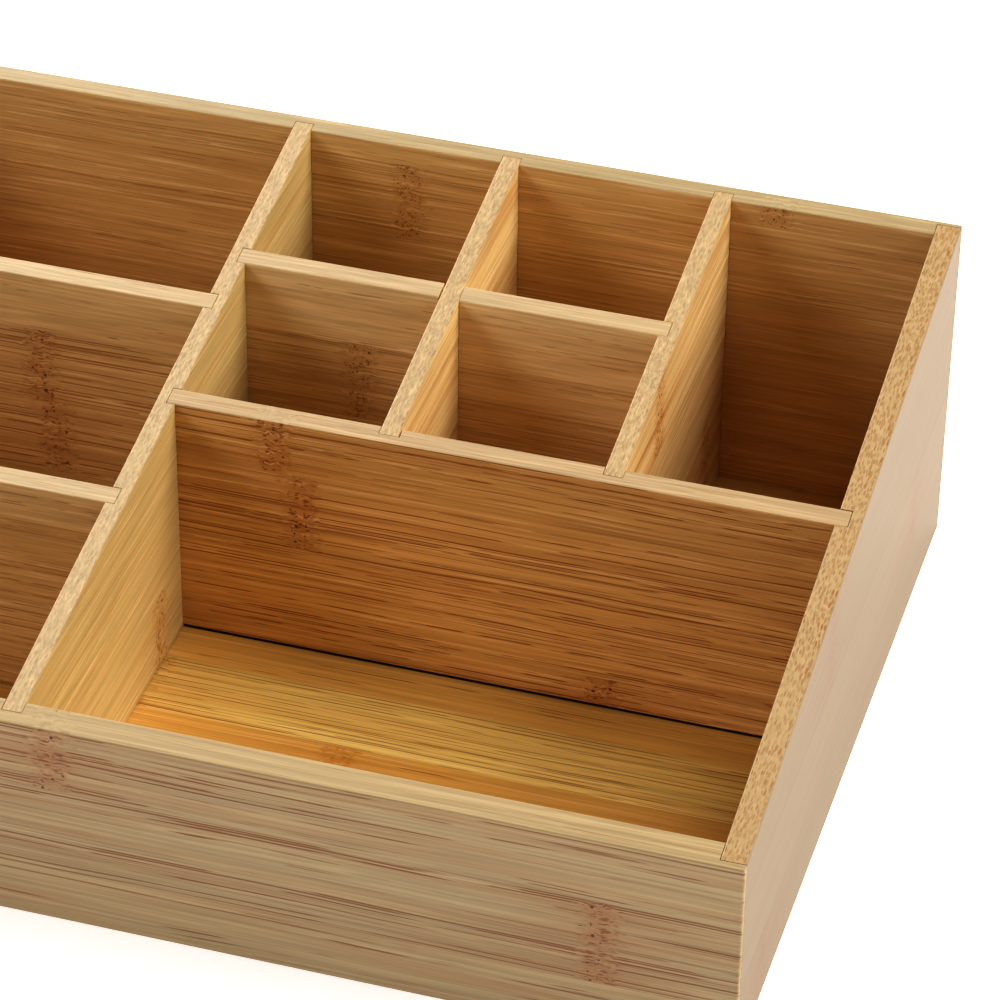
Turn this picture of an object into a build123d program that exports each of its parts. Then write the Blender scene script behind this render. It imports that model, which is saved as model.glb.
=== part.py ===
from build123d import *
import os

# Bamboo makeup organizer: twelve glued boards around nine open compartments.
# Every rim lies on one plane that rises from the low front to the high back.
# X runs to the right, Y to the back and Z up; the origin is on the table, under the middle.

# Overall size, in millimetres
overall_width = 282.0
overall_depth = 210.0
back_height = 90.5
front_height = 54.5

# Board thicknesses
front_thickness = 6.8
back_thickness = 5.2
side_thickness = 6.0
base_thickness = 4.0
partition_thickness = 4.8
divider_thickness = 5.2

# Clear sizes of the cells on the right; the rows on the left share what the rest leaves
cell_width = 49.8
tall_cell_width = 50.9
cell_depth = 45.3
left_row_count = 3

# Joints: how deep each board is let into the one that carries it
front_rabbet = 5.1
back_rabbet = 3.9
front_dado = 3.4
back_dado = 2.6
side_dado = 3.1
partition_dado = 2.3
divider_dado = 2.8
base_groove = 2.6
lap_share = 0.5
base_lift = 2.3

# Clearances in the joints, and between the inner boards and the base panel
cheek_clearance = 0.08
end_clearance = 0.15
base_clearance = 0.15
partition_gap = 0.4
divider_gap = 0.8
lap_play = 0.45
dado_play = 0.3

# Eased edges
outer_radius = 0.5
inner_radius = 0.3

# Faces of the outer panels and of the base panel
left_face = -overall_width / 2
right_face = overall_width / 2
front_face = -overall_depth / 2
back_face = overall_depth / 2
left_inner = left_face + side_thickness
right_inner = right_face - side_thickness
front_inner = front_face + front_thickness
back_inner = back_face - back_thickness
base_top = base_lift + base_thickness
partition_bottom = base_top + partition_gap
divider_bottom = base_top + divider_gap

# Left faces of the partitions, the boards that run from front to back
cell_pitch = cell_width + partition_thickness
tall_partition_left = right_inner - tall_cell_width - partition_thickness
cell_partition_left = tall_partition_left - cell_pitch
main_partition_left = cell_partition_left - cell_pitch
main_partition_right = main_partition_left + partition_thickness

# Front faces of the dividers, the boards that run from side to side
cell_divider_front = back_inner - cell_depth - divider_thickness
cell_divider_back = cell_divider_front + divider_thickness
front_divider_front = cell_divider_front - cell_depth - divider_thickness
front_divider_back = front_divider_front + divider_thickness
left_rows_depth = back_inner - front_inner - (left_row_count - 1) * divider_thickness
left_row_pitch = left_rows_depth / left_row_count + divider_thickness
left_divider_fronts = [
    front_inner + row * left_row_pitch - divider_thickness for row in range(1, left_row_count)
]

# Floors of the joints, where the ends of the boards come to rest
front_rabbet_floor = front_inner - front_rabbet
back_rabbet_floor = back_inner + back_rabbet
front_dado_floor = front_inner - front_dado
back_dado_floor = back_inner + back_dado
left_side_dado_floor = left_inner - side_dado
right_side_dado_floor = right_inner + side_dado
main_dado_floor_left = main_partition_left + partition_dado
main_dado_floor_right = main_partition_right - partition_dado
tall_dado_floor = tall_partition_left + partition_dado
divider_dado_floor = front_divider_back - divider_dado

# The rim plane passes through the outer top edges of the front and back panels
rim_rise = (back_height - front_height) / overall_depth
above_rims = back_height + outer_radius


def rim_height(y):
    """Height of the rim plane above the table at a distance behind the middle."""
    return front_height + (y - front_face) * rim_rise


# The two halves of the cross lap meet at this level
lap_level = base_top + lap_share * (rim_height(cell_divider_front) - base_top)


def upright(left, right, front, back, bottom):
    """Add an upright board, its top on the rim plane, to the part being built."""
    with BuildSketch(Plane.YZ.offset(left)) as profile:
        with BuildLine():
            Polyline(
                (front, bottom),
                (back, bottom),
                (back, rim_height(back)),
                (front, rim_height(front)),
                close=True,
            )
        make_face()
    extrude(profile.sketch, amount=right - left)


def recess(left, right, front, back, bottom, top=above_rims):
    """Cut a square recess into the part being built, through its top unless a top is given."""
    with BuildSketch(Plane.XY.offset(bottom)) as mouth:
        with Locations(((left + right) / 2, (front + back) / 2)):
            Rectangle(right - left, back - front)
    extrude(mouth.sketch, amount=top - bottom, mode=Mode.SUBTRACT)


def dado_for_divider(left, right, divider_front):
    """Cut the dado of a side-to-side divider between two places in X."""
    recess(
        left,
        right,
        divider_front - cheek_clearance,
        divider_front + divider_thickness + cheek_clearance,
        base_top,
    )


def dado_for_partition(partition_left, front, back, play=0.0):
    """Cut the dado of a front-to-back partition between two places in Y."""
    recess(
        partition_left - cheek_clearance,
        partition_left + partition_thickness + cheek_clearance + play,
        front,
        back,
        base_top,
    )


def groove_for_base(left, right, front, back):
    """Cut the groove that holds one edge of the base panel."""
    recess(left, right, front, back, base_lift - base_clearance, base_top + base_clearance)


def ease_long_edges():
    """Round the two long top edges of the board being built."""
    rim = faces().sort_by(Axis.Z)[-1]
    fillet(rim.edges().sort_by(SortBy.LENGTH)[-2:], inner_radius)


def ease_full_width_panel(outward):
    """Round the front or back panel: rim and corners on the outside, rim only on the inside."""
    outward_axis = Axis((0, 0, 0), outward)
    rim_edges = faces().sort_by(Axis.Z)[-1].edges().sort_by(outward_axis)
    corner_edges = faces().sort_by(outward_axis)[-1].edges().filter_by(Axis.Z)
    fillet(rim_edges[1:] + corner_edges, outer_radius)
    inner_face = faces().sort_by(outward_axis)[0]
    fillet(inner_face.edges().sort_by(Axis.Z)[-1], inner_radius)


def ease_side_panel(outward):
    """Round the rim of a side panel, more on the outside than on the inside."""
    rim = faces().sort_by(Axis.Z)[-1]
    long_edges = rim.edges().sort_by(SortBy.LENGTH)[-2:].sort_by(Axis((0, 0, 0), outward))
    fillet(long_edges[-1], outer_radius)
    fillet(long_edges[0], inner_radius)


# Front panel: runs over the full width, with a rabbet at each end for the side panels
with BuildPart() as front_panel:
    upright(left_face, right_face, front_face, front_inner, 0)
    ease_full_width_panel((0, -1, 0))
    recess(left_face, left_inner + cheek_clearance, front_rabbet_floor, front_inner, 0)
    recess(right_inner - cheek_clearance, right_face, front_rabbet_floor, front_inner, 0)
    groove_for_base(left_inner, right_inner, front_inner - base_groove, front_inner)
    dado_for_partition(main_partition_left, front_dado_floor, front_inner)
front_panel.part.label = "front_panel"

# Back panel: as the front one, with a dado for each of the three partitions
with BuildPart() as back_panel:
    upright(left_face, right_face, back_inner, back_face, 0)
    ease_full_width_panel((0, 1, 0))
    recess(left_face, left_inner + cheek_clearance, back_inner, back_rabbet_floor, 0)
    recess(right_inner - cheek_clearance, right_face, back_inner, back_rabbet_floor, 0)
    groove_for_base(left_inner, right_inner, back_inner, back_inner + base_groove)
    for partition_left in (main_partition_left, cell_partition_left, tall_partition_left):
        dado_for_partition(partition_left, back_inner, back_dado_floor)
back_panel.part.label = "back_panel"

# Side panels: their ends fill the rabbets, and the base groove runs out at both ends
side_front = front_rabbet_floor + end_clearance
side_back = back_rabbet_floor - end_clearance
with BuildPart() as left_side:
    upright(left_face, left_inner, side_front, side_back, 0)
    ease_side_panel((-1, 0, 0))
    groove_for_base(left_inner - base_groove, left_inner, side_front, side_back)
    for divider_front in left_divider_fronts:
        dado_for_divider(left_side_dado_floor, left_inner, divider_front)
left_side.part.label = "left_side"

with BuildPart() as right_side:
    upright(right_inner, right_face, side_front, side_back, 0)
    ease_side_panel((1, 0, 0))
    groove_for_base(right_inner, right_inner + base_groove, side_front, side_back)
    dado_for_divider(right_inner, right_side_dado_floor, front_divider_front)
right_side.part.label = "right_side"

# Base panel: one flat board in the grooves, clear of the table
base_reach = base_groove - base_clearance
with BuildPart() as base_panel:
    with BuildSketch(Plane.XY.offset(base_lift)):
        with Locations(((left_inner + right_inner) / 2, (front_inner + back_inner) / 2)):
            Rectangle(
                right_inner - left_inner + 2 * base_reach,
                back_inner - front_inner + 2 * base_reach,
            )
    extrude(amount=base_thickness)
base_panel.part.label = "base_panel"

# Main partition: from the front panel to the back panel, between the rows and the cells
partition_back = back_dado_floor - end_clearance
with BuildPart() as main_partition:
    upright(
        main_partition_left,
        main_partition_right,
        front_dado_floor + end_clearance,
        partition_back,
        partition_bottom,
    )
    ease_long_edges()
    for divider_front in (front_divider_front, cell_divider_front):
        dado_for_divider(main_dado_floor_right, main_partition_right, divider_front)
    for divider_front in left_divider_fronts:
        dado_for_divider(main_partition_left, main_dado_floor_left, divider_front)
main_partition.part.label = "main_partition"

# Cell partition: between the four small cells, notched from below over the cell divider
cell_boards_front = divider_dado_floor + end_clearance
cell_partition_right = cell_partition_left + partition_thickness
with BuildPart() as cell_partition:
    upright(
        cell_partition_left,
        cell_partition_right,
        cell_boards_front,
        partition_back,
        partition_bottom,
    )
    ease_long_edges()
    recess(
        cell_partition_left,
        cell_partition_right,
        cell_divider_front - cheek_clearance,
        cell_divider_back + cheek_clearance,
        partition_bottom,
        lap_level + end_clearance,
    )
cell_partition.part.label = "cell_partition"

# Tall cell partition: between the small cells and the tall one, with a dado for their divider
with BuildPart() as tall_cell_partition:
    upright(
        tall_partition_left,
        tall_partition_left + partition_thickness,
        cell_boards_front,
        partition_back,
        partition_bottom,
    )
    ease_long_edges()
    dado_for_divider(tall_partition_left, tall_dado_floor, cell_divider_front)
tall_cell_partition.part.label = "tall_cell_partition"

# Front divider: closes the cells towards the wide compartment and holds two partitions
main_joint_end = main_dado_floor_right + end_clearance
with BuildPart() as front_divider:
    upright(
        main_joint_end,
        right_side_dado_floor - end_clearance,
        front_divider_front,
        front_divider_back,
        divider_bottom,
    )
    ease_long_edges()
    dado_for_partition(cell_partition_left, divider_dado_floor, front_divider_back, dado_play)
    dado_for_partition(tall_partition_left, divider_dado_floor, front_divider_back)
front_divider.part.label = "front_divider"

# Cell divider: crosses the cell partition in a lap, notched from above a little too wide
with BuildPart() as cell_divider:
    upright(
        main_joint_end,
        tall_dado_floor - end_clearance,
        cell_divider_front,
        cell_divider_back,
        divider_bottom,
    )
    ease_long_edges()
    recess(
        cell_partition_left - lap_play,
        cell_partition_right + cheek_clearance,
        cell_divider_front,
        cell_divider_back,
        lap_level,
    )
cell_divider.part.label = "cell_divider"

# Row dividers: part the left side of the organizer into rows of equal depth
row_dividers = []
for number, divider_front in enumerate(left_divider_fronts, start=1):
    with BuildPart() as row_divider:
        upright(
            left_side_dado_floor + end_clearance,
            main_dado_floor_left - end_clearance,
            divider_front,
            divider_front + divider_thickness,
            divider_bottom,
        )
        ease_long_edges()
    row_divider.part.label = f"row_divider_{number}"
    row_dividers.append(row_divider)

boards = [
    front_panel,
    back_panel,
    left_side,
    right_side,
    base_panel,
    main_partition,
    cell_partition,
    tall_cell_partition,
    front_divider,
    cell_divider,
    *row_dividers,
]

os.makedirs("parts", exist_ok=True)
for board in boards:
    export_step(board.part, f"parts/{board.part.label}.step")
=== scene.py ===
"""Looks of a bamboo makeup organizer: strip-laminated boards on a white table in soft light.

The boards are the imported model's own nodes. Each gets a solid bamboo finish that runs through
the board as the real fibres do, so faces, rims and joints each show the right cut of it.
"""

import logging
import math
from dataclasses import dataclass
from enum import Enum
from typing import Any

import bpy
import numpy as np
from mathutils import Matrix, Vector

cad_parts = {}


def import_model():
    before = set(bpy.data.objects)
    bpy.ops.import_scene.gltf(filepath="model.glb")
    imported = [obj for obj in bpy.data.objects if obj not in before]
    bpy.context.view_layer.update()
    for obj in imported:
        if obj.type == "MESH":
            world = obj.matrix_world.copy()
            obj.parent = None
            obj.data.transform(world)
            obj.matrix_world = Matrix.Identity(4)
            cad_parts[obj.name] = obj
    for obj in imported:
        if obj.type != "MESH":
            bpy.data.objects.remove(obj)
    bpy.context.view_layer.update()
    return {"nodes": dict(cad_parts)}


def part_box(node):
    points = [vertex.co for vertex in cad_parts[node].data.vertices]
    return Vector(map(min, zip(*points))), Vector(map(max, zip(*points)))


Tree = bpy.types.NodeTree
Node = bpy.types.Node
Source = bpy.types.Node | bpy.types.NodeSocket | float

log = logging.getLogger("organizer")

MM = 0.001

# Inputs of a Map Range node, in their order
VALUE, FROM_MIN, FROM_MAX, TO_MIN, TO_MAX = range(5)

# Width of a noise pattern's blobs as a share of its step, and the range that most of it keeps to
BLOB = 0.6
NOISE_LOW, NOISE_HIGH = 0.3, 0.7


def linear(hex_colour: str) -> tuple[float, float, float, float]:
    """Turn an sRGB hex colour into linear light.

    Args:
        hex_colour: Six hex digits after a hash sign.

    Returns:
        Linear red, green, blue, and an alpha of one.
    """
    parts = [int(hex_colour[i : i + 2], 16) / 255 for i in (1, 3, 5)]
    light = [p / 12.92 if p <= 0.04045 else ((p + 0.055) / 1.055) ** 2.4 for p in parts]
    return (light[0], light[1], light[2], 1.0)


def add(tree: Tree, kind: str, inputs: dict[int | str, Any] | None = None, **settings: Any) -> Node:
    """Add a shader node with its settings and links.

    Args:
        tree: The node tree to add to.
        kind: Blender's name of the node type, without its beginning.
        inputs: Values or sources by the input's name, or by its number among those in use. A
            node stands for its first output.
        settings: Properties of the node.

    Returns:
        The new node.
    """
    node = tree.nodes.new("ShaderNode" + kind)
    for name, value in settings.items():
        setattr(node, name, value)
    for key, value in (inputs or {}).items():
        sockets = [s for s in node.inputs if s.enabled]
        socket = sockets[key] if isinstance(key, int) else next(s for s in sockets if s.name == key)
        if isinstance(value, bpy.types.Node):
            value = next(s for s in value.outputs if s.enabled)
        if isinstance(value, bpy.types.NodeSocket):
            tree.links.new(value, socket)
        else:
            socket.default_value = value
    return node


class Fibre(Enum):
    """How a board's fibres lie: the axes along the fibre, across the strips and through the board."""

    SIDE_TO_SIDE = (0, 2, 1)
    FRONT_TO_BACK = (1, 2, 0)
    FLAT = (0, 1, 2)


class Skin(Enum):
    """The face of a board that was nearer the outside of the culm, where bundles are large."""

    LOW = (1.0, 0.0)
    HIGH = (0.0, 1.0)


@dataclass(frozen=True)
class Strip:
    """One strip of a board. A board's strips are listed from the lowest or frontmost one.

    Attributes:
        end: Where the strip ends across the board, in millimetres in the part's frame.
        tone: From 0, pale, to 1, deep.
        lines: How many of its bundles show on the face, from 0 to 1.
        knuckle: Place of its knuckle along the fibre, in millimetres, or None where it has none.
    """

    end: float
    tone: float
    lines: float
    knuckle: float | None = None


@dataclass(frozen=True)
class Growth:
    """How bamboo grows and is laminated, alike in all boards. Lengths are in millimetres.

    Attributes:
        bend: Distance from a knuckle where its fibres begin to bend, and where they are fully bent.
        dense: The same for the stretch round a knuckle whose bundles are darker and closer.
        ragged: Stretch within which a knuckle's edge strays along the fibre.
        ragged_scale: Turns of that edge in a millimetre.
        twist: Stretch within which the fibres bend in a knuckle.
        pore_row: Distance from the knuckle's middle to each of its two rows of pores.
        pore_band: Half the width of such a row, where the first pores lie and where all do.
        wander: Stretch within which a fibre strays across the strip and through the board.
        wander_step: How soon it does so along the fibre, across it and through the board.
        streak_step: Size of a broad streak, the same ways.
        own_grain: How far a strip's tone, knuckle and lines shift its grain from the next one's.
        glue_line: Width of the glue line between two strips.
        rim_facing: How far the surface faces across the board where it starts to be a rim, and
            where it is one, from 0 to 1.
        sliver: Width of the bundles on a rim that runs along them, as a share of their width.
        first_place: Share of the board's length up to which a strip's knuckle counts as none.
    """

    bend: tuple[float, float] = (7.0, 1.0)
    dense: tuple[float, float] = (32.0, 3.0)
    ragged: float = 7.0
    ragged_scale: float = 0.4
    twist: float = 2.2
    pore_row: float = 1.5
    pore_band: tuple[float, float] = (1.4, 0.8)
    wander: float = 2.0
    wander_step: tuple[float, float, float] = (70.0, 12.0, 12.0)
    streak_step: tuple[float, float, float] = (110.0, 3.4, 4.0)
    own_grain: tuple[float, float, float] = (173.0, 131.0, 97.0)
    glue_line: float = 0.3
    rim_facing: tuple[float, float] = (0.45, 0.85)
    sliver: float = 0.5
    first_place: float = 0.002


@dataclass
class Spot:
    """Where a point of the surface lies in its board, as outputs of shader nodes.

    Attributes:
        along: Millimetres along the fibre.
        straight: Millimetres along, across and through the board, with a shift for each strip.
        bent: The same, following the fibres as they wander and bend round a knuckle.
        on_rim: 1 where the surface is a rim, which cuts the bundles across, and 0 on a face.
        rim_width: How wide the bundles show on a rim, as a share of their width: less where the
            rim runs along them and cuts off slivers.
        to_skin: Share of the way to the culm's skin.
        tone: The strip's tone.
        lines: The share of its bundles that show.
        glue: 1 in a glue line between strips.
        knuckle: 1 in a knuckle.
        pore_row: 1 in the two rows of pores of a knuckle.
        near_knuckle: Falls from 1 at a knuckle to 0 well away from it.
        streaks: Two slow patterns, for broad streaks and for groups of bundles.
        painted_shade_band: 1 in the band that another board covers, which gets painted shade.
    """

    along: Source
    straight: Source
    bent: Source
    on_rim: Source
    rim_width: float
    to_skin: Source
    tone: Source
    lines: Source
    glue: Source
    knuckle: Source
    pore_row: Source
    near_knuckle: Source
    streaks: tuple[Source, Source]
    painted_shade_band: Source


@dataclass(frozen=True)
class Bundles:
    """One size of vascular bundles, the hard dark threads of bamboo.

    Each bundle has a slow pattern of its own along the fibre, and shows where that rises above
    a level. The lower the level, the more of the bundle shows.

    Attributes:
        spacing: From one to the next, across the strip and through the board, in millimetres.
        reach: Radius of the largest ones, as a share of the spacing.
        run: How far one shows on a face before it dips under the surface, in millimetres.
        seed: Shift that keeps one size apart from the next.
        spread: How much further apart they stand on a face. Real ones are packed more tightly
            there than a picture can show, so fewer of them are drawn, each at its own width.
        own_shift: How far apart the patterns of two bundles can lie.
        broken: Roughness of the pattern well away from a knuckle, and at one.
        level: The level in a strip that shows none of its bundles.
        by_lines: What a strip that shows all its bundles adds to it.
        by_group: What the middle of a group of bundles adds to it.
        by_nearness: What a knuckle adds to it for some way round.
        by_knuckle: What it adds in its own middle.
        fade: How far above the level a bundle shows fully.
        on_cut: How fully a rim shows a bundle that doesn't show on the face.
        thin: Radius at the ends of a bundle, as a share of that at its middle.
        heart: Share of the radius that is fully dark.
        palest: Strength of the palest bundle, against 1 for the darkest.
    """

    spacing: tuple[float, float]
    reach: float
    run: float
    seed: float
    spread: float
    own_shift: float = 97.0
    broken: tuple[float, float] = (0.35, 0.8)
    level: float = 0.9
    by_lines: float = -0.4
    by_group: float = -0.28
    by_nearness: float = -0.12
    by_knuckle: float = 0.2
    fade: float = 0.09
    on_cut: float = 0.6
    thin: float = 0.45
    heart: float = 0.7
    palest: float = 0.5

    def draw(self, tree: Tree, spot: Spot) -> Node:
        """Draw the bundles, cut lengthwise on a face and slantwise on a rim.

        A bundle is a cell of a pattern in the cut across the fibre, drawn out along it. It comes
        and goes along the fibre, and tapers as it dips under the surface.

        Args:
            tree: The node tree.
            spot: Where the surface lies in the board.

        Returns:
            How far a bundle covers the ground, from 0 to 1.
        """
        cut = add(
            tree,
            "VectorMath",
            {0: spot.bent, 1: (0.0, 1 / self.spacing[0], 1 / self.spacing[1])},
            operation="MULTIPLY",
        )
        packed = add(tree, "MapRange", {VALUE: spot.on_rim, TO_MIN: 1 / self.spread, TO_MAX: 1.0})
        cut = add(tree, "VectorMath", {0: cut, "Scale": packed}, operation="SCALE")
        parts = add(tree, "SeparateXYZ", {0: cut}).outputs
        flat = add(tree, "CombineXYZ", {0: parts[1], 1: parts[2]})
        cells = add(tree, "TexVoronoi", {"Vector": flat, "Scale": 1.0}, voronoi_dimensions="2D")
        kind = add(tree, "SeparateColor", {0: cells.outputs["Color"]}).outputs
        shown = self.shown(tree, spot, kind[0])

        radius = add(
            tree, "MapRange", {VALUE: shown, TO_MIN: self.thin * self.reach, TO_MAX: self.reach}
        )
        shrink = add(tree, "MapRange", {VALUE: spot.on_rim, TO_MIN: 1.0, TO_MAX: spot.rim_width})
        radius = add(tree, "Math", {0: radius, 1: shrink}, operation="MULTIPLY")
        radius = add(tree, "Math", {0: radius, 1: packed}, operation="MULTIPLY")
        heart = add(tree, "Math", {0: radius, 1: self.heart}, operation="MULTIPLY")
        shape = add(
            tree,
            "MapRange",
            {VALUE: cells.outputs["Distance"], FROM_MIN: radius, FROM_MAX: heart},
            interpolation_type="SMOOTHSTEP",
        )
        strength = add(tree, "MapRange", {VALUE: kind[1], TO_MIN: self.palest, TO_MAX: 1.0})
        strength = add(tree, "Math", {0: strength, 1: shown}, operation="MULTIPLY")
        return add(tree, "Math", {0: strength, 1: shape}, operation="MULTIPLY")

    def shown(self, tree: Tree, spot: Spot, own: Source) -> Node:
        """Work out where along the fibre each bundle shows.

        Args:
            tree: The node tree.
            spot: Where the surface lies in the board.
            own: A number from 0 to 1 that is the bundle's own.

        Returns:
            How fully it shows, from 0 to 1.
        """
        ahead = add(tree, "Math", {0: spot.along, 1: 1 / self.run}, operation="MULTIPLY")
        apart = add(tree, "Math", {0: own, 1: self.own_shift, 2: self.seed}, operation="MULTIPLY_ADD")
        walk = add(tree, "CombineXYZ", {0: ahead, 1: apart})
        smooth, rough = self.broken
        broken = add(tree, "MapRange", {VALUE: spot.near_knuckle, TO_MIN: smooth, TO_MAX: rough})
        come = add(
            tree,
            "TexNoise",
            {"Vector": walk, "Scale": 1.0, "Detail": 2.5, "Roughness": broken},
            noise_dimensions="2D",
        )
        level = self.level
        for cause, change in (
            (spot.lines, self.by_lines),
            (spot.streaks[1], self.by_group),
            (spot.near_knuckle, self.by_nearness),
            (spot.knuckle, self.by_knuckle),
        ):
            level = add(tree, "Math", {0: cause, 1: change, 2: level}, operation="MULTIPLY_ADD")
        above = add(tree, "Math", {0: level, 1: self.fade}, operation="ADD")
        shown = add(tree, "MapRange", {VALUE: come, FROM_MIN: level, FROM_MAX: above})
        on_cut = add(tree, "MapRange", {VALUE: shown, TO_MIN: self.on_cut, TO_MAX: 1.0})
        return add(tree, "Mix", {"Factor": spot.on_rim, "A": shown, "B": on_cut})


@dataclass(frozen=True)
class Marks:
    """One kind of mark in a knuckle: its pores, or the short marks where fibres cross it.

    Attributes:
        spacing: From one to the next, along and across the fibre, in millimetres.
        missing: Share of the places that hold none.
        reach: Radius of the largest ones, as a share of the spacing.
        heart: Share of the radius that is fully dark.
    """

    spacing: tuple[float, float]
    missing: float
    reach: float
    heart: float = 0.5

    def draw(self, tree: Tree, place: Source, where: Source, share: Source) -> Node:
        """Draw the marks. They run through the board, so the pattern is flat.

        Args:
            tree: The node tree.
            place: Millimetres along, across and through the board.
            where: 1 where such marks lie.
            share: How far the largest cover the ground.

        Returns:
            How far they cover the ground, from 0 to 1.
        """
        step = (1 / self.spacing[0], 1 / self.spacing[1], 0.0)
        scaled = add(tree, "VectorMath", {0: place, 1: step}, operation="MULTIPLY")
        cells = add(tree, "TexVoronoi", {"Vector": scaled, "Scale": 1.0}, voronoi_dimensions="2D")
        own = add(tree, "SeparateColor", {0: cells.outputs["Color"]})
        radius = add(
            tree,
            "MapRange",
            {VALUE: own, FROM_MIN: self.missing, FROM_MAX: 1.0, TO_MIN: 0.0, TO_MAX: self.reach},
        )
        radius = add(tree, "Math", {0: radius, 1: where}, operation="MULTIPLY")
        heart = add(tree, "Math", {0: radius, 1: self.heart}, operation="MULTIPLY")
        cover = add(
            tree,
            "MapRange",
            {VALUE: cells.outputs["Distance"], FROM_MIN: radius, FROM_MAX: heart, TO_MAX: where},
        )
        return add(tree, "Math", {0: cover, 1: share}, operation="MULTIPLY")


@dataclass(frozen=True)
class Bamboo:
    """Flat-pressed bamboo, lightly steamed, planed, sanded and sealed with a thin satin lacquer.

    The culm is split into strips about 22 mm wide, which lie side by side, one ply thick. A face
    shows the vascular bundles cut lengthwise as fine brown lines in a paler ground, and a knuckle
    of bent fibres with dark pores where the culm had a node. A sloped rim cuts across the
    bundles and shows them as short dashes. The lacquer leaves a soft, wide gloss.

    Attributes:
        pale: Ground colour of the palest strips.
        deep: Ground colour of the deepest strips.
        outside: The same two colours for an outer face, or None. The outer faces are greyer than
        the inner ones.
        rim: Ground colour on the rims, where the ends of the ground cells show.
        bundle: Colour of the bundles on a face.
        dash: Colour of the bundles on a rim.
        streak: Colour of the broad streaks and round the knuckles.
        glint: Colour of the pale fibres.
        pore: Colour of the pores in a knuckle, of glue, and of the painted shade under a board.
        line_share: How far the large bundles cover the ground on a face.
        hair_share: How far the fine bundles do.
        dash_share: How far the bundles cover it on a rim.
        streak_share: How far the broad streaks cover the ground.
        glint_share: How far the pale fibres cover it.
        knuckle_share: How far the knuckles' marks cover it.
        fibre_shade: How much the fine fibres lighten and darken the ground.
        fibre_length: Length of the fine fibres, in millimetres.
        run: How far a large bundle shows on a face, in millimetres.
        mark_spacing: Size of a knuckle's marks along and across the fibre, in millimetres.
        large_spacing: From one large bundle to the next, across and through, in millimetres.
        large_spread: How much further apart they are drawn on a face.
        fine_spacing: From one fine bundle to the next, across and through, in millimetres.
        fine_spread: How much further apart they are drawn on a face.
        fine_run: How far a fine bundle shows, as a share of a large one's run.
        fibre_width: Width of the fine fibres, in millimetres. Real ones are 0.02 mm wide, too
            fine to show, so this is the width of a row of them.
        pore_spacing: From one pore to the next, along and across the fibre, in millimetres.
        large_on_rim: How far the large bundles cover a rim, as a share of dash_share: furthest
            from the skin, and at the skin.
        fine_on_rim: The same for the fine bundles.
        glue_share: How far a glue line darkens a face. On a rim it doesn't show.
        near_streak: How far a streak's colour reaches round a knuckle.
        knuckle_streak: How much further in the knuckle.
        streak_range: The slow pattern's value where a streak begins, and where it is full.
        glint_range: The same for the pale fibres in the pattern of the fine fibres.
        plain_glint: The pale fibres' share where the surface is a rim or an outer face.
        marks_on_rim: The knuckle marks' share where the surface is a rim.
        halfway: Share of the way to the skin where the outer face's colour begins and is full.
        bundle_height: How a bundle stands against the ground, whose fibres are 1 high.
        pore_height: The same for a pore.
        mark_height: The same for a mark on top of what a bundle has.
        relief: How high the fibres stand, in millimetres.
        relief_share: How much of that the sanding leaves on a face, and on a rim.
        roughness: Roughness of the lacquer over the darkest fibres and over the palest.
        ior: Index of refraction of the lacquer.
    """

    pale: str = "#E0C294"
    deep: str = "#CDA066"
    outside: tuple[str, str] | None = None
    rim: str = "#DDBB80"
    bundle: str = "#8A5730"
    dash: str = "#A8713C"
    streak: str = "#B47A42"
    glint: str = "#F0D8A8"
    pore: str = "#432410"
    line_share: float = 0.8
    hair_share: float = 0.4
    dash_share: float = 0.7
    streak_share: float = 0.3
    glint_share: float = 0.3
    knuckle_share: float = 0.85
    fibre_shade: float = 0.14
    fibre_length: float = 45.0
    run: float = 12.0
    mark_spacing: tuple[float, float] = (1.9, 0.75)
    large_spacing: tuple[float, float] = (0.54, 1.0)
    large_spread: float = 1.6
    fine_spacing: tuple[float, float] = (0.38, 0.6)
    fine_spread: float = 2.0
    fine_run: float = 0.7
    fibre_width: float = 0.42
    pore_spacing: tuple[float, float] = (2.4, 2.6)
    large_on_rim: tuple[float, float] = (0.15, 1.0)
    fine_on_rim: tuple[float, float] = (0.9, 0.6)
    glue_share: float = 0.12
    near_streak: float = 0.2
    knuckle_streak: float = 0.3
    streak_range: tuple[float, float] = (0.42, 0.68)
    glint_range: tuple[float, float] = (0.58, 0.68)
    plain_glint: float = 0.3
    marks_on_rim: float = 0.2
    halfway: tuple[float, float] = (0.45, 0.55)
    bundle_height: float = -0.7
    pore_height: float = -2.5
    mark_height: float = -1.0
    relief: float = 0.06
    relief_share: tuple[float, float] = (0.3, 0.9)
    roughness: tuple[float, float] = (0.44, 0.56)
    ior: float = 1.5

    def material(self, board: "Board") -> bpy.types.Material:
        """Make the finish for one board.

        Args:
            board: The board that it is for, with its place and its strips.

        Returns:
            The material.
        """
        material = bpy.data.materials.new(f"{board.node}: flat-pressed bamboo, satin lacquer")
        material.use_nodes = True
        tree = material.node_tree
        tree.nodes.clear()
        spot = board.locate(tree)
        bundles = self.bundles(tree, spot)

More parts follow.
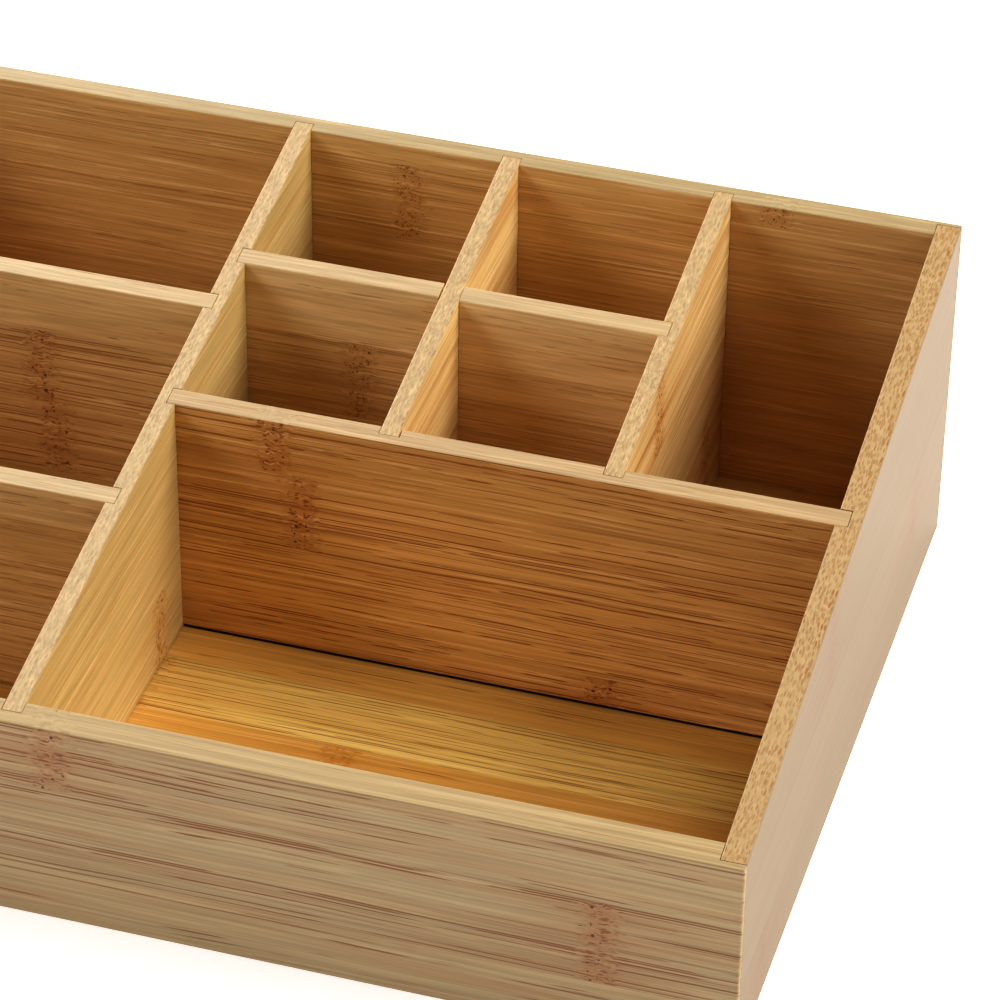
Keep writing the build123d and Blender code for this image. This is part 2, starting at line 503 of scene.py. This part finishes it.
        # Fine fibres: dark ones shade the ground, and the palest glint
        across = BLOB / self.fibre_width
        step = (1 / self.fibre_length, across, across)
        fibre_place = add(tree, "VectorMath", {0: spot.bent, 1: step}, operation="MULTIPLY")
        fibres = add(tree, "TexNoise", {"Vector": fibre_place, "Scale": 1.0, "Detail": 2.0})
        in_knuckle = add(
            tree,
            "MapRange",
            {
                VALUE: spot.on_rim,
                TO_MIN: self.knuckle_share,
                TO_MAX: self.marks_on_rim * self.knuckle_share,
            },
        )
        pores = Marks(self.pore_spacing, missing=0.2, reach=0.24).draw(
            tree, spot.straight, spot.pore_row, in_knuckle
        )
        marks = Marks(self.mark_spacing, missing=0.15, reach=0.55).draw(
            tree, spot.bent, spot.knuckle, in_knuckle
        )
        colour = self.ground(tree, spot, fibres)
        line_colour = add(
            tree,
            "Mix",
            {"Factor": spot.on_rim, "A": linear(self.bundle), "B": linear(self.dash)},
            data_type="RGBA",
        )
        bundles = add(tree, "Math", {0: bundles, 1: marks}, operation="MAXIMUM")
        colour = add(tree, "Mix", {"Factor": bundles, "A": colour, "B": line_colour}, data_type="RGBA")
        glue_share = add(tree, "MapRange", {VALUE: spot.on_rim, TO_MIN: self.glue_share, TO_MAX: 0.0})
        dark = add(tree, "Math", {0: spot.glue, 1: glue_share, 2: pores}, operation="MULTIPLY_ADD")
        # Painted shade: the band that another board covers is painted dark, for the gap under that board
        dark = add(tree, "Math", {0: dark, 1: spot.painted_shade_band}, operation="MAXIMUM")
        colour = add(tree, "Mix", {"Factor": dark, "A": colour, "B": linear(self.pore)}, data_type="RGBA")

        # Relief: bundles, marks and pores lie lower than the sanded ground
        height = fibres
        for lower, change in (
            (bundles, self.bundle_height),
            (pores, self.pore_height),
            (marks, self.mark_height),
        ):
            height = add(tree, "Math", {0: lower, 1: change, 2: height}, operation="MULTIPLY_ADD")
        face, rim = self.relief_share
        share = add(tree, "MapRange", {VALUE: spot.on_rim, TO_MIN: face, TO_MAX: rim})
        bump = add(tree, "Bump", {"Strength": share, "Distance": self.relief * MM, "Height": height})
        smooth, rough = self.roughness
        roughness = add(
            tree,
            "MapRange",
            {VALUE: fibres, FROM_MIN: NOISE_LOW, FROM_MAX: NOISE_HIGH, TO_MIN: smooth, TO_MAX: rough},
        )
        shader = add(
            tree,
            "BsdfPrincipled",
            {"Base Color": colour, "Roughness": roughness, "IOR": self.ior, "Normal": bump},
        )
        add(tree, "OutputMaterial", {"Surface": shader})
        return material

    def bundles(self, tree: Tree, spot: Spot) -> Node:
        """Draw the large bundles, which stand near the skin, and the fine ones further in.

        Args:
            tree: The node tree.
            spot: Where the surface lies in the board.

        Returns:
            How far they cover the ground, from 0 to 1.
        """
        run = self.run
        large = Bundles(
            self.large_spacing, reach=0.38, run=run, seed=11.3, spread=self.large_spread
        ).draw(tree, spot)
        fine = Bundles(
            self.fine_spacing, reach=0.4, run=self.fine_run * run, seed=57.9, spread=self.fine_spread
        ).draw(tree, spot)
        large_dashes, fine_dashes = (
            add(
                tree,
                "MapRange",
                {VALUE: spot.to_skin, TO_MIN: inner * self.dash_share, TO_MAX: outer * self.dash_share},
            )
            for inner, outer in (self.large_on_rim, self.fine_on_rim)
        )
        large_share = add(tree, "Mix", {"Factor": spot.on_rim, "A": self.line_share, "B": large_dashes})
        fine_share = add(tree, "Mix", {"Factor": spot.on_rim, "A": self.hair_share, "B": fine_dashes})
        large = add(tree, "Math", {0: large, 1: large_share}, operation="MULTIPLY")
        fine = add(tree, "Math", {0: fine, 1: fine_share}, operation="MULTIPLY")
        return add(tree, "Math", {0: large, 1: fine}, operation="MAXIMUM")

    def ground(self, tree: Tree, spot: Spot, fibres: Source) -> Node:
        """Colour the ground between the bundles.

        Args:
            tree: The node tree.
            spot: Where the surface lies in the board.
            fibres: The pattern of the fine fibres.

        Returns:
            The colour.
        """
        pale, deep = linear(self.pale), linear(self.deep)
        ground = add(tree, "Mix", {"Factor": spot.tone, "A": pale, "B": deep}, data_type="RGBA")
        plain = spot.on_rim
        if self.outside:
            pale, deep = (linear(colour) for colour in self.outside)
            skin_ground = add(tree, "Mix", {"Factor": spot.tone, "A": pale, "B": deep}, data_type="RGBA")
            begin, full = self.halfway
            outer = add(tree, "MapRange", {VALUE: spot.to_skin, FROM_MIN: begin, FROM_MAX: full})
            ground = add(tree, "Mix", {"Factor": outer, "A": ground, "B": skin_ground}, data_type="RGBA")
            plain = add(tree, "Math", {0: spot.on_rim, 1: outer}, operation="MAXIMUM")
        begin, full = self.streak_range
        cover = add(
            tree,
            "MapRange",
            {VALUE: spot.streaks[0], FROM_MIN: begin, FROM_MAX: full, TO_MAX: self.streak_share},
        )
        for cause, change in (
            (spot.near_knuckle, self.near_streak),
            (spot.knuckle, self.knuckle_streak),
        ):
            cover = add(tree, "Math", {0: cause, 1: change, 2: cover}, operation="MULTIPLY_ADD")
        for share, colour in ((cover, self.streak), (spot.on_rim, self.rim)):
            ground = add(
                tree, "Mix", {"Factor": share, "A": ground, "B": linear(colour)}, data_type="RGBA"
            )
        shade = add(
            tree,
            "MapRange",
            {
                VALUE: fibres,
                FROM_MIN: NOISE_LOW,
                FROM_MAX: NOISE_HIGH,
                TO_MIN: 1 - self.fibre_shade,
                TO_MAX: 1 + self.fibre_shade,
            },
        )
        ground = add(tree, "VectorMath", {0: ground, "Scale": shade}, operation="SCALE")
        most = add(
            tree,
            "MapRange",
            {VALUE: plain, TO_MIN: self.glint_share, TO_MAX: self.plain_glint * self.glint_share},
        )
        begin, full = self.glint_range
        glints = add(tree, "MapRange", {VALUE: fibres, FROM_MIN: begin, FROM_MAX: full, TO_MAX: most})
        glint = linear(self.glint)
        return add(tree, "Mix", {"Factor": glints, "A": ground, "B": glint}, data_type="RGBA")


@dataclass(frozen=True)
class Board:
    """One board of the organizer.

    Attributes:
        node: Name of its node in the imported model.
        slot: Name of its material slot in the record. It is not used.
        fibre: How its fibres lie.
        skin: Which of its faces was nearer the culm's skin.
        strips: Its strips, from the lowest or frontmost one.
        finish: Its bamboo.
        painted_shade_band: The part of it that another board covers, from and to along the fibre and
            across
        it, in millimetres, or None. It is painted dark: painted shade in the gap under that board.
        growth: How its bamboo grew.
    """

    node: str
    slot: str
    fibre: Fibre
    skin: Skin
    strips: tuple[Strip, ...]
    finish: Bamboo
    painted_shade_band: tuple[tuple[float, float], tuple[float, float]] | None = None
    growth: Growth = Growth()

    def bounds_mm(self) -> tuple[Vector, Vector]:
        """Give the board's lowest and highest corners in millimetres."""
        low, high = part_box(self.node)
        return low / MM, high / MM

    def locate(self, tree: Tree) -> Spot:
        """Work out where the surface lies in the board.

        Args:
            tree: The node tree of the board's material.

        Returns:
            The outputs that say where.
        """
        growth = self.growth
        low, high = self.bounds_mm()
        along, across, through = self.fibre.value
        length = high[along] - low[along]

        # Millimetres in the part's frame: u along the fibre, v across it, w through the board
        where = add(tree, "TexCoord")
        place = where.outputs["Object"]
        place = add(tree, "VectorMath", {0: place, 1: (1 / MM, 1 / MM, 1 / MM)}, operation="MULTIPLY")
        axes = add(tree, "SeparateXYZ", {0: place}).outputs
        u, v, w = axes[along], axes[across], axes[through]
        on_rim = self.rim(tree, where.outputs["Normal"])

        # The strip that a point lies in. Each strip gets a grain of its own.
        share = add(tree, "MapRange", {VALUE: v, FROM_MIN: low[across], FROM_MAX: high[across]})
        ramp = add(tree, "ValToRGB", {0: share})
        self.fill_ramp(ramp.color_ramp)
        tone, knuckle_at, lines = add(tree, "SeparateColor", {0: ramp}).outputs
        own = add(tree, "VectorMath", {0: ramp, 1: growth.own_grain}, operation="DOT_PRODUCT")
        v_own = add(tree, "Math", {0: v, 1: own.outputs["Value"]}, operation="ADD")
        straight = add(tree, "CombineXYZ", {0: u, 1: v_own, 2: w})

        # Distance from the knuckle along the fibre, with an uneven edge
        uneven = add(tree, "TexNoise", {"Vector": straight, "Scale": growth.ragged_scale, "Detail": 1.0})
        middle = (0.5, 0.5, 0.5)
        uneven = add(
            tree, "VectorMath", {0: uneven.outputs["Color"], 1: middle}, operation="SUBTRACT"
        )
        sideways = add(tree, "SeparateXYZ", {0: uneven}).outputs[0]
        at = add(tree, "Math", {0: knuckle_at, 1: length, 2: low[along]}, operation="MULTIPLY_ADD")
        away = add(tree, "Math", {0: u, 1: at}, operation="SUBTRACT")
        away = add(tree, "Math", {0: sideways, 1: growth.ragged, 2: away}, operation="MULTIPLY_ADD")
        away = add(tree, "Math", {0: away}, operation="ABSOLUTE")
        has = add(tree, "Math", {0: knuckle_at, 1: growth.first_place}, operation="GREATER_THAN")
        knuckle, near_knuckle = (
            add(
                tree,
                "MapRange",
                {VALUE: away, FROM_MIN: begin, FROM_MAX: full, TO_MAX: has},
                interpolation_type="SMOOTHSTEP",
            )
            for begin, full in (growth.bend, growth.dense)
        )
        from_row = add(tree, "Math", {0: away, 1: growth.pore_row}, operation="SUBTRACT")
        from_row = add(tree, "Math", {0: from_row}, operation="ABSOLUTE")
        begin, full = growth.pore_band
        pore_row = add(
            tree, "MapRange", {VALUE: from_row, FROM_MIN: begin, FROM_MAX: full, TO_MAX: has}
        )

        # The fibres wander a little over their length, and bend round a knuckle
        step = tuple(1 / size for size in growth.wander_step)
        slow_place = add(tree, "VectorMath", {0: straight, 1: step}, operation="MULTIPLY")
        slow = add(tree, "TexNoise", {"Vector": slow_place, "Scale": 1.0, "Detail": 2.0})
        wander = add(
            tree,
            "VectorMath",
            {0: slow.outputs["Color"], 1: (0.0, growth.wander, growth.wander), 2: straight},
            operation="MULTIPLY_ADD",
        )
        twist = add(tree, "Math", {0: knuckle, 1: growth.twist}, operation="MULTIPLY")
        twist = add(tree, "VectorMath", {0: uneven, "Scale": twist}, operation="SCALE")
        bent = add(tree, "VectorMath", {0: wander, 1: twist}, operation="ADD")

        step = tuple(1 / size for size in growth.streak_step)
        streak_place = add(tree, "VectorMath", {0: wander, 1: step}, operation="MULTIPLY")
        streaks = add(tree, "TexNoise", {"Vector": streak_place, "Scale": 1.0, "Detail": 2.0})
        # Painted shade in the gap under a board that covers this one
        painted_shade_band = self.cover(tree, u, v)
        at_low, at_high = self.skin.value
        to_skin = add(
            tree,
            "MapRange",
            {VALUE: w, FROM_MIN: low[through], FROM_MAX: high[through], TO_MIN: at_low, TO_MAX: at_high},
        )
        glue = add(tree, "Math", {0: 1.0, 1: ramp.outputs["Alpha"]}, operation="SUBTRACT")
        streaks = add(tree, "SeparateColor", {0: streaks.outputs["Color"]}).outputs
        return Spot(
            along=u,
            straight=straight,
            bent=bent,
            on_rim=on_rim,
            rim_width=growth.sliver if self.fibre is Fibre.SIDE_TO_SIDE else 1.0,
            to_skin=to_skin,
            tone=tone,
            lines=lines,
            glue=glue,
            knuckle=knuckle,
            pore_row=pore_row,
            near_knuckle=near_knuckle,
            streaks=(streaks[0], streaks[1]),
            painted_shade_band=painted_shade_band,
        )

    def rim(self, tree: Tree, normal: Source) -> Source:
        """Find the rims, which face across the board and so cut its bundles.

        Args:
            tree: The node tree.
            normal: The way that the surface faces.

        Returns:
            1 on a rim and 0 on a face. A board that lies flat shows no rim.
        """
        if self.fibre is Fibre.FLAT:
            return 0.0
        _, across, _ = self.fibre.value
        facing = add(tree, "SeparateXYZ", {0: normal}).outputs[across]
        facing = add(tree, "Math", {0: facing}, operation="ABSOLUTE")
        begin, full = self.growth.rim_facing
        return add(tree, "MapRange", {VALUE: facing, FROM_MIN: begin, FROM_MAX: full})

    def cover(self, tree: Tree, u: Source, v: Source) -> Source:
        """Find the band that another board covers, which gets painted shade.

        Args:
            tree: The node tree.
            u: Millimetres along the fibre.
            v: Millimetres across it.

        Returns:
            1 in the band and 0 elsewhere.
        """
        if not self.painted_shade_band:
            return 0.0
        inside = []
        for place, (start, end) in zip((u, v), self.painted_shade_band):
            offset = add(tree, "Math", {0: place, 1: (start + end) / 2}, operation="SUBTRACT")
            offset = add(tree, "Math", {0: offset}, operation="ABSOLUTE")
            inside.append(add(tree, "Math", {0: offset, 1: (end - start) / 2}, operation="LESS_THAN"))
        return add(tree, "Math", {0: inside[0], 1: inside[1]}, operation="MULTIPLY")

    def fill_ramp(self, ramp: bpy.types.ColorRamp) -> None:
        """Write the strips into a stepped ramp across the board.

        Red holds the tone, green the knuckle's share of the length, with 0 for none, blue the
        share of bundles, and alpha is 0 in the glue line that ends a strip.

        Args:
            ramp: The ramp to fill.
        """
        low, high = self.bounds_mm()
        along, across, _ = self.fibre.value
        length, height = high[along] - low[along], high[across] - low[across]
        ramp.interpolation = "CONSTANT"
        ramp.elements.remove(ramp.elements[1])
        begin = 0.0
        for number, strip in enumerate(self.strips):
            knuckle = 0.0 if strip.knuckle is None else (strip.knuckle - low[along]) / length
            colour = (strip.tone, min(max(knuckle, 0.0), 1.0), strip.lines)
            element = ramp.elements[0] if number == 0 else ramp.elements.new(begin)
            element.position = begin
            element.color = (*colour, 1.0)
            end = (strip.end - low[across]) / height
            if end < 1.0:
                ramp.elements.new(end - self.growth.glue_line / height).color = (*colour, 0.0)
            begin = end

    def dress(self, nodes: dict[str, bpy.types.Object]) -> None:
        """Put the finish on the board's node.

        Args:
            nodes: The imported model's objects by name.
        """
        thing = nodes[self.node]
        thing.data.materials.clear()
        thing.data.materials.append(self.finish.material(self))
        log.info("%s: %d strips, %s", self.node, len(self.strips), self.fibre.name.lower())


@dataclass
class OuterPanels:
    """The four panels that stand on the table, and the base panel in their grooves.

    Attributes:
        front: The front panel's bamboo, with reddish lines on an olive ground.
        back: The back panel's, with pale fibres on its inner face.
        side: The side panels', pale and even on the face, with clear dashes on the rim.
        base: The base panel's, golden with dark lines.
    """

    front: Bamboo = Bamboo(
        pale="#E6C48C",
        deep="#D8B985",
        outside=("#BAA179", "#AE9873"),
        rim="#BAA175",
        bundle="#8A5020",
        dash="#9A6C2E",
        streak="#A87244",
        glint="#D8C49C",
        line_share=1.0,
        hair_share=0.6,
        fibre_length=60.0,
        run=40.0,
        mark_spacing=(3.0, 0.75),
        large_spacing=(0.7, 1.2),
        large_spread=1.25,
    )
    back: Bamboo = Bamboo(
        pale="#E9C080",
        deep="#DBB172",
        outside=("#AC9268", "#A08660"),
        rim="#B59F75",
        bundle="#9C6430",
        dash="#A67836",
        streak="#C58C4A",
        glint="#F2D9A8",
        line_share=0.45,
        hair_share=0.4,
        glint_share=0.5,
        fibre_length=38.0,
        mark_spacing=(0.9, 0.8),
    )
    side: Bamboo = Bamboo(
        pale="#A87A44",
        deep="#9C6E3A",
        outside=("#9D876B", "#937E61"),
        rim="#BDA072",
        bundle="#8E6A54",
        dash="#9C641C",
        streak="#9A7A60",
        line_share=0.25,
        hair_share=0.15,
        dash_share=0.9,
        glint_share=0.1,
        knuckle_share=0.3,
        fibre_shade=0.06,
        fibre_length=80.0,
        run=60.0,
    )
    base: Bamboo = Bamboo(
        pale="#F6DC86",
        deep="#E2AA50",
        bundle="#9C5A0E",
        streak="#CC8C38",
        line_share=0.95,
        hair_share=0.75,
        knuckle_share=0.25,
        fibre_length=60.0,
        run=30.0,
    )

    def boards(self) -> list[Board]:
        """List the boards with their strips.

        Returns:
            The boards.
        """
        return [
            Board(
                "front_panel",
                "front_panel_bamboo",
                Fibre.SIDE_TO_SIDE,
                Skin.LOW,
                (
                    Strip(14.5, 0.2, 0.45, -96.0),
                    Strip(37.4, 0.6, 1.0, 109.5),
                    Strip(60.0, 0.3, 0.7, -17.5),
                ),
                self.front,
            ),
            Board(
                "back_panel",
                "back_panel_bamboo",
                Fibre.SIDE_TO_SIDE,
                Skin.HIGH,
                (
                    Strip(17.5, 0.6, 0.6, 58.0),
                    Strip(40.0, 0.8, 0.5, -118.0),
                    Strip(62.0, 0.7, 0.6),
                    Strip(84.0, 0.5, 1.0, 1.0),
                    Strip(106.0, 0.3, 0.6, 96.0),
                ),
                self.back,
            ),
            Board(
                "left_side",
                "side_panel_bamboo",
                Fibre.FRONT_TO_BACK,
                Skin.LOW,
                (
                    Strip(15.0, 0.5, 0.7, 51.0),
                    Strip(37.5, 0.2, 0.9, -64.0),
                    Strip(60.0, 0.6, 0.6, 12.0),
                    Strip(82.5, 0.3, 0.8, 83.0),
                    Strip(105.0, 0.5, 0.7),
                ),
                self.side,
            ),
            Board(
                "right_side",
                "side_panel_bamboo",
                Fibre.FRONT_TO_BACK,
                Skin.HIGH,
                (
                    Strip(19.5, 0.5, 0.8, -83.0),
                    Strip(42.5, 0.2, 0.6, 68.0),
                    Strip(67.5, 0.4, 0.7, -24.0),
                    Strip(90.0, 0.3, 0.9),
                    Strip(112.0, 0.2, 0.7),
                ),
                self.side,
            ),
            Board(
                "base_panel",
                "base_panel_bamboo",
                Fibre.FLAT,
                Skin.HIGH,
                (
                    Strip(-76.5, 0.4, 0.7, -52.0),
                    Strip(-55.5, 0.6, 0.4, 118.0),
                    Strip(-34.5, 0.8, 0.2, 27.0),
                    Strip(-13.5, 0.2, 1.0, -27.5),
                    Strip(7.5, 0.7, 0.35, -95.0),
                    Strip(28.5, 0.4, 0.8, 66.0),
                    Strip(49.5, 0.6, 0.6, -34.0),
                    Strip(70.5, 0.5, 0.9, 125.0),
                    Strip(91.5, 0.3, 0.7, -77.0),
                    Strip(112.0, 0.6, 0.5, 14.0),
                ),
                self.base,
                # Painted shade in the gap under the front divider
                painted_shade_band=((-25.0, 135.0), (-1.2, 4.0)),
            ),
        ]


@dataclass
class Partitions:
    """The three boards that run from front to back.

    Attributes:
        plain: Bamboo of the main partition, golden and even.
        streaked: Bamboo of the cell partitions, with orange streaks.
    """

    plain: Bamboo = Bamboo(
        pale="#D0B87E",
        deep="#C6AA6E",
        rim="#C4A97C",
        bundle="#A87034",
        dash="#8E5C28",
        streak="#C2924E",
        line_share=0.35,
        hair_share=0.3,
        dash_share=0.5,
        run=50.0,
        mark_spacing=(1.1, 3.0),
        large_spacing=(0.42, 0.8),
    )
    streaked: Bamboo = Bamboo(
        pale="#EED094",
        deep="#E2C181",
        rim="#C4A97C",
        bundle="#9A5A1C",
        dash="#8E5C28",
        streak="#C48A46",
        line_share=0.65,
        dash_share=0.5,
        streak_share=0.5,
        run=30.0,
        large_spacing=(0.42, 0.8),
    )

    def boards(self) -> list[Board]:
        """List the boards with their strips.

        Returns:
            The boards.
        """
        return [
            Board(
                "main_partition",
                "partition_bamboo",
                Fibre.FRONT_TO_BACK,
                Skin.LOW,
                (
                    Strip(26.5, 0.2, 0.5, -16.5),
                    Strip(48.5, 0.5, 0.7),
                    Strip(70.5, 0.4, 0.6),
                    Strip(93.0, 0.3, 0.8),
                ),
                self.plain,
            ),
            Board(
                "cell_partition",
                "partition_bamboo",
                Fibre.FRONT_TO_BACK,
                Skin.HIGH,
                (
                    Strip(21.0, 0.5, 0.6, 71.0),
                    Strip(43.0, 0.3, 0.9, 14.0),
                    Strip(65.0, 0.6, 0.7),
                    Strip(92.0, 0.4, 0.8),
                ),
                self.streaked,
            ),
            Board(
                "tall_cell_partition",
                "partition_bamboo",
                Fibre.FRONT_TO_BACK,
                Skin.LOW,
                (
                    Strip(12.5, 0.4, 0.6),
                    Strip(35.0, 0.6, 0.7, 84.0),
                    Strip(57.0, 0.5, 0.8),
                    Strip(79.5, 0.4, 1.0, 35.0),
                    Strip(102.0, 0.3, 0.8),
                ),
                self.streaked,
            ),
        ]


@dataclass
class Dividers:
    """The four boards that run from side to side.

    Attributes:
        front: Bamboo of the front divider, with dense dark lines.
        cell: Bamboo of the cell divider, even, with pale fibres.
        row: Bamboo of the row dividers.
    """

    front: Bamboo = Bamboo(
        pale="#E6BA78",
        deep="#D6A866",
        rim="#BEA279",
        bundle="#8C4410",
        dash="#A67836",
        streak="#B0702E",
        line_share=0.9,
        hair_share=0.6,
        streak_share=0.45,
        glint_share=0.4,
        run=18.0,
    )
    cell: Bamboo = Bamboo(
        pale="#F2D29C",
        deep="#E4C088",
        rim="#C4AA80",
        bundle="#9E6630",
        dash="#A67836",
        streak="#C08A48",
        line_share=0.65,
        hair_share=0.5,
        glint_share=0.35,
        fibre_length=22.0,
        mark_spacing=(0.9, 0.8),
    )
    row: Bamboo = Bamboo(
        pale="#E8C690",
        deep="#CFA668",
        rim="#C4AA80",
        bundle="#95592A",
        dash="#A67836",
        streak="#B8804A",
        line_share=0.85,
        hair_share=0.6,
        fibre_length=22.0,
    )

    def boards(self) -> list[Board]:
        """List the boards with their strips.

        Returns:
            The boards.
        """
        return [
            Board(
                "front_divider",
                "divider_bamboo",
                Fibre.SIDE_TO_SIDE,
                Skin.LOW,
                (
                    Strip(15.0, 0.6, 0.7, 81.0),
                    Strip(36.0, 0.5, 0.9),
                    Strip(57.5, 0.4, 1.0, 6.0),
                    Strip(80.0, 0.5, 0.9, -0.5),
                ),
                self.front,
            ),
            Board(
                "cell_divider",
                "divider_bamboo",
                Fibre.SIDE_TO_SIDE,
                Skin.LOW,
                (
                    Strip(19.0, 0.5, 0.7, 52.0),
                    Strip(41.0, 0.6, 0.8),
                    Strip(63.0, 0.8, 0.9, 4.0),
                    Strip(86.0, 0.2, 0.5),
                ),
                self.cell,
            ),
            Board(
                "row_divider_1",
                "divider_bamboo",
                Fibre.SIDE_TO_SIDE,
                Skin.LOW,
                (
                    Strip(12.5, 0.5, 0.7),
                    Strip(34.5, 0.6, 0.9, -116.0),
                    Strip(56.2, 0.8, 0.9),
                    Strip(78.0, 0.3, 0.6),
                ),
                self.row,
            ),
            Board(
                "row_divider_2",
                "divider_bamboo",
                Fibre.SIDE_TO_SIDE,
                Skin.HIGH,
                (
                    Strip(20.5, 0.6, 0.7),
                    Strip(41.5, 0.5, 0.9, -70.0),
                    Strip(62.5, 0.6, 1.0, -73.0),
                    Strip(84.0, 0.3, 0.4),
                ),
                self.row,
            ),
        ]


@dataclass(frozen=True)
class OpalAcrylic:
    """Opal acrylic sheet, cast, matt and lit from below, as a photographer's table is.

    The matt side shows no reflection, and the light from below leaves only a faint shadow.

    Attributes:
        colour: Colour of the sheet.
        light: Colour of the light that comes through it.
        glow: Strength of that light.
        roughness: Roughness of its matt side.
        ior: Index of refraction.
    """

    colour: str = "#F1F1F1"
    light: str = "#FFFFFF"
    glow: float = 0.5
    roughness: float = 0.7
    ior: float = 1.49

    def material(self) -> bpy.types.Material:
        """Make the finish.

        Returns:
            The material.
        """
        material = bpy.data.materials.new("cast opal acrylic")
        material.use_nodes = True
        shader = material.node_tree.nodes["Principled BSDF"]
        shader.inputs["Base Color"].default_value = linear(self.colour)
        shader.inputs["Roughness"].default_value = self.roughness
        shader.inputs["IOR"].default_value = self.ior
        shader.inputs["Emission Color"].default_value = linear(self.light)
        shader.inputs["Emission Strength"].default_value = self.glow
        return material


@dataclass(frozen=True)
class SoftBox:
    """A square lamp behind white cloth that faces the organizer.

    Attributes:
        name: Its name.
        power: Its power, in watts.
        round_by: Where it stands, in degrees round from the front by way of the right side.
        above: How high it stands, in degrees above the table.
        side: Its side, in metres.
        distance: From the organizer to the lamp, in metres.
    """

    name: str
    power: float
    round_by: float
    above: float
    side: float = 1.0
    distance: float = 2.0

    def place(self) -> bpy.types.Object:
        """Make the lamp and put it in its place.

        Returns:
            The lamp's object.
        """
        data = bpy.data.lights.new(self.name, "AREA")
        data.shape = "SQUARE"
        data.size = self.side
        data.energy = self.power
        turn, rise = math.radians(self.round_by), math.radians(self.above)
        way = Vector((math.sin(turn) * math.cos(rise), -math.cos(turn) * math.cos(rise), math.sin(rise)))
        lamp = bpy.data.objects.new(self.name, data)
        lamp.location = way * self.distance
        lamp.rotation_euler = (-way).to_track_quat("-Z", "Y").to_euler()
        bpy.context.scene.collection.objects.link(lamp)
        return lamp


@dataclass
class Studio:
    """The white table, the soft lights and the camera.

    Attributes:
        table_size: Side of the table's top, in metres.
        table_points: Points along each side of its mesh.
        table_finish: What it is made of.
        lamps: The soft boxes.
        walls: Brightness of the white walls round it.
        wall_colour: Their colour.
        azimuth: How far the camera stands to the right of straight ahead, in degrees.
        elevation: How far it looks down, in degrees.
        roll: How far it is turned about its axis, in degrees.
        lens: Its focal length, in millimetres.
        sensor: Width of its sensor, in millimetres.
        target: The point at the middle of the picture, in millimetres.
        distance: From the camera to that point, in millimetres.
        sight: How far it sees, in metres.
        contrast: The exponent that the picture's light is raised to.
    """

    table_size: float = 6.0
    table_points: int = 3
    table_finish: OpalAcrylic = OpalAcrylic()
    lamps: tuple[SoftBox, ...] = (
        SoftBox("right_box", power=33.0, round_by=90.0, above=30.0),
        SoftBox("right_high_box", power=17.0, round_by=120.0, above=60.0),
        SoftBox("back_left_box", power=51.0, round_by=225.0, above=30.0),
        SoftBox("front_left_box", power=16.5, round_by=315.0, above=30.0),
    )
    walls: float = 0.02
    wall_colour: str = "#FFFFFF"
    azimuth: float = 16.28
    elevation: float = 35.75
    roll: float = 0.772
    lens: float = 162.65
    sensor: float = 36.0
    target: tuple[float, float, float] = (42.88, 41.33, 30.0)
    distance: float = 1110.75
    sight: float = 20.0
    contrast: float = 1.35

    def table(self) -> bpy.types.Object:
        """Make the table's top.

        The surface has two parameters, its sideways and forward places on an even grid, and its
        height is nought everywhere.

        Returns:
            The table's object.
        """
        side = np.linspace(-self.table_size / 2, self.table_size / 2, self.table_points)
        x, y = np.meshgrid(side, side)
        points = np.stack([x.ravel(), y.ravel(), np.zeros(x.size)], axis=1)
        first = np.arange(points.shape[0]).reshape(x.shape)[:-1, :-1].ravel()
        row = self.table_points
        faces = np.stack([first, first + 1, first + row + 1, first + row], axis=1)
        mesh = bpy.data.meshes.new("white_table")
        mesh.from_pydata(points.tolist(), [], faces.tolist())
        mesh.update()
        table = bpy.data.objects.new("white_table", mesh)
        bpy.context.scene.collection.objects.link(table)
        mesh.materials.append(self.table_finish.material())
        return table

    def surroundings(self) -> None:
        """Light the scene a little from all round, as white walls do."""
        world = bpy.data.worlds.new("white walls")
        world.use_nodes = True
        background = world.node_tree.nodes["Background"]
        background.inputs["Color"].default_value = linear(self.wall_colour)
        background.inputs["Strength"].default_value = self.walls
        bpy.context.scene.world = world

    def camera(self) -> bpy.types.Object:
        """Make the camera at the photograph's angle and make it the scene's camera.

        Returns:
            The camera's object.
        """
        data = bpy.data.cameras.new("camera")
        data.sensor_fit = "HORIZONTAL"
        data.sensor_width = self.sensor
        data.lens = self.lens
        data.clip_end = self.sight
        camera = bpy.data.objects.new("camera", data)
        turn = (
            Matrix.Rotation(math.radians(self.azimuth), 4, "Z")
            @ Matrix.Rotation(math.radians(90.0 - self.elevation), 4, "X")
            @ Matrix.Rotation(math.radians(self.roll), 4, "Z")
        )
        back = turn @ Vector((0.0, 0.0, self.distance * MM))
        camera.matrix_world = Matrix.Translation(Vector(self.target) * MM + back) @ turn
        bpy.context.scene.collection.objects.link(camera)
        bpy.context.scene.camera = camera
        return camera

    def build(self) -> None:
        """Set up the whole studio, and the picture's contrast."""
        self.table()
        self.surroundings()
        for lamp in self.lamps:
            lamp.place()
        self.camera()
        settings = bpy.context.scene.view_settings
        settings.view_transform = "Standard"
        settings.gamma = 1 / self.contrast
        log.info("studio: table, %d soft boxes and camera", len(self.lamps))


def main() -> None:
    """Load the frame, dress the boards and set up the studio."""
    logging.basicConfig(level=logging.INFO, format="%(name)s: %(message)s")
    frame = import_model()
    for assembly in (OuterPanels(), Partitions(), Dividers()):
        for board in assembly.boards():
            board.dress(frame["nodes"])
    Studio().build()


if __name__ == "__main__":
    main()
